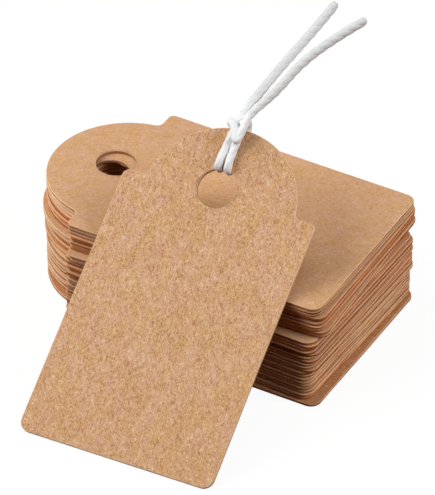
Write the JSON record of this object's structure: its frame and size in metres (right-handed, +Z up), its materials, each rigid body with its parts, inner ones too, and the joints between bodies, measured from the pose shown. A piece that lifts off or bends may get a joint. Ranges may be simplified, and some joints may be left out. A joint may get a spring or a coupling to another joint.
{
  "type": "gift tag set",
  "caption": "Round-headed kraft card gift tags in a loose stack, with one more tag leaning on it that carries a hitched cotton string for tying to a parcel.",
  "frame": {"origin": "on the table under the middle of the top tag, in the plane of the bottom tag's underside", "axes": "+Z up; -X towards the heads of the stacked tags, +X towards their square tails; -Y towards the long side on which the strung tag leans"},
  "size_m": [0.0519, 0.0668, 0.0374],
  "materials": {
    "kraft_card": "uncoated brown kraft card with light and dark fibres, die-cut edges left raw",
    "cotton_string": "soft twisted cotton string, undyed white, ends cut"
  },
  "bodies": {
    "bottom_tag": {"tag_01": "kraft_card"},
    "leaning": {"leaning_tag": "kraft_card", "string": "cotton_string"},
    "tag_30_body": {"tag_30": "kraft_card"},
    "tag_29_body": {"tag_29": "kraft_card"},
    "tag_28_body": {"tag_28": "kraft_card"},
    "tag_27_body": {"tag_27": "kraft_card"},
    "tag_26_body": {"tag_26": "kraft_card"},
    "tag_25_body": {"tag_25": "kraft_card"},
    "tag_24_body": {"tag_24": "kraft_card"},
    "tag_23_body": {"tag_23": "kraft_card"},
    "tag_22_body": {"tag_22": "kraft_card"},
    "tag_21_body": {"tag_21": "kraft_card"},
    "tag_20_body": {"tag_20": "kraft_card"},
    "tag_19_body": {"tag_19": "kraft_card"},
    "tag_18_body": {"tag_18": "kraft_card"},
    "tag_17_body": {"tag_17": "kraft_card"},
    "tag_16_body": {"tag_16": "kraft_card"},
    "tag_15_body": {"tag_15": "kraft_card"},
    "tag_14_body": {"tag_14": "kraft_card"},
    "tag_13_body": {"tag_13": "kraft_card"},
    "tag_12_body": {"tag_12": "kraft_card"},
    "tag_11_body": {"tag_11": "kraft_card"},
    "tag_10_body": {"tag_10": "kraft_card"},
    "tag_09_body": {"tag_09": "kraft_card"},
    "tag_08_body": {"tag_08": "kraft_card"},
    "tag_07_body": {"tag_07": "kraft_card"},
    "tag_06_body": {"tag_06": "kraft_card"},
    "tag_05_body": {"tag_05": "kraft_card"},
    "tag_04_body": {"tag_04": "kraft_card"},
    "tag_03_body": {"tag_03": "kraft_card"},
    "tag_02_body": {"tag_02": "kraft_card"}
  },
  "joints": [
    {"name": "lean", "type": "hinge", "parent": "bottom_tag", "child": "leaning", "pos_m": [0.0071, -0.03996, 0.00041], "axis": [0.9985, 0.0555, 0], "range_deg": [0, 140]},
    {"name": "tag_30_draw", "type": "slide", "parent": "bottom_tag", "child": "tag_30_body", "axis": [1, 0, 0], "range_m": [-0.025, 0.025]},
    {"name": "tag_29_draw", "type": "slide", "parent": "bottom_tag", "child": "tag_29_body", "axis": [1, 0, 0], "range_m": [-0.025, 0.025]},
    {"name": "tag_28_draw", "type": "slide", "parent": "bottom_tag", "child": "tag_28_body", "axis": [1, 0, 0], "range_m": [-0.025, 0.025]},
    {"name": "tag_27_draw", "type": "slide", "parent": "bottom_tag", "child": "tag_27_body", "axis": [0.9998, 0.0174, 0], "range_m": [-0.025, 0.025]},
    {"name": "tag_26_draw", "type": "slide", "parent": "bottom_tag", "child": "tag_26_body", "axis": [0.9998, 0.0199, 0], "range_m": [-0.025, 0.025]},
    {"name": "tag_25_draw", "type": "slide", "parent": "bottom_tag", "child": "tag_25_body", "axis": [0.9999, 0.0172, 0], "range_m": [-0.025, 0.025]},
    {"name": "tag_24_draw", "type": "slide", "parent": "bottom_tag", "child": "tag_24_body", "axis": [0.9999, 0.0127, 0], "range_m": [-0.025, 0.025]},
    {"name": "tag_23_draw", "type": "slide", "parent": "bottom_tag", "child": "tag_23_body", "axis": [0.9999, 0.0119, 0], "range_m": [-0.025, 0.025]},
    {"name": "tag_22_draw", "type": "slide", "parent": "bottom_tag", "child": "tag_22_body", "axis": [0.9986, 0.0524, 0], "range_m": [-0.025, 0.025]},
    {"name": "tag_21_draw", "type": "slide", "parent": "bottom_tag", "child": "tag_21_body", "axis": [0.9986, 0.0538, 0], "range_m": [-0.025, 0.025]},
    {"name": "tag_20_draw", "type": "slide", "parent": "bottom_tag", "child": "tag_20_body", "axis": [0.9999, -0.0139, 0], "range_m": [-0.025, 0.025]},
    {"name": "tag_19_draw", "type": "slide", "parent": "bottom_tag", "child": "tag_19_body", "axis": [0.9998, -0.0197, 0], "range_m": [-0.025, 0.025]},
    {"name": "tag_18_draw", "type": "slide", "parent": "bottom_tag", "child": "tag_18_body", "axis": [0.9997, -0.0227, 0], "range_m": [-0.025, 0.025]},
    {"name": "tag_17_draw", "type": "slide", "parent": "bottom_tag", "child": "tag_17_body", "axis": [0.9998, -0.0191, 0], "range_m": [-0.025, 0.025]},
    {"name": "tag_16_draw", "type": "slide", "parent": "bottom_tag", "child": "tag_16_body", "axis": [0.9999, -0.0135, 0], "range_m": [-0.025, 0.025]},
    {"name": "tag_15_draw", "type": "slide", "parent": "bottom_tag", "child": "tag_15_body", "axis": [0.9999, -0.0128, 0], "range_m": [-0.025, 0.025]},
    {"name": "tag_14_draw", "type": "slide", "parent": "bottom_tag", "child": "tag_14_body", "axis": [0.9998, -0.0179, 0], "range_m": [-0.025, 0.025]},
    {"name": "tag_13_draw", "type": "slide", "parent": "bottom_tag", "child": "tag_13_body", "axis": [0.9996, -0.0292, 0], "range_m": [-0.025, 0.025]},
    {"name": "tag_12_draw", "type": "slide", "parent": "bottom_tag", "child": "tag_12_body", "axis": [0.9996, -0.0282, 0], "range_m": [-0.025, 0.025]},
    {"name": "tag_11_draw", "type": "slide", "parent": "bottom_tag", "child": "tag_11_body", "axis": [0.9997, -0.0247, 0], "range_m": [-0.025, 0.025]},
    {"name": "tag_10_draw", "type": "slide", "parent": "bottom_tag", "child": "tag_10_body", "axis": [0.9996, -0.0296, 0], "range_m": [-0.025, 0.025]},
    {"name": "tag_09_draw", "type": "slide", "parent": "bottom_tag", "child": "tag_09_body", "axis": [0.9995, -0.0309, 0], "range_m": [-0.025, 0.025]},
    {"name": "tag_08_draw", "type": "slide", "parent": "bottom_tag", "child": "tag_08_body", "axis": [0.9995, -0.0328, 0], "range_m": [-0.025, 0.025]},
    {"name": "tag_07_draw", "type": "slide", "parent": "bottom_tag", "child": "tag_07_body", "axis": [0.9995, -0.033, 0], "range_m": [-0.025, 0.025]},
    {"name": "tag_06_draw", "type": "slide", "parent": "bottom_tag", "child": "tag_06_body", "axis": [0.9995, -0.0312, 0], "range_m": [-0.025, 0.025]},
    {"name": "tag_05_draw", "type": "slide", "parent": "bottom_tag", "child": "tag_05_body", "axis": [0.9996, -0.0296, 0], "range_m": [-0.025, 0.025]},
    {"name": "tag_04_draw", "type": "slide", "parent": "bottom_tag", "child": "tag_04_body", "axis": [0.9995, -0.0303, 0], "range_m": [-0.025, 0.025]},
    {"name": "tag_03_draw", "type": "slide", "parent": "bottom_tag", "child": "tag_03_body", "axis": [0.9995, -0.0323, 0], "range_m": [-0.025, 0.025]},
    {"name": "tag_02_draw", "type": "slide", "parent": "bottom_tag", "child": "tag_02_body", "axis": [0.9994, -0.0332, 0], "range_m": [-0.025, 0.025]}
  ]
}
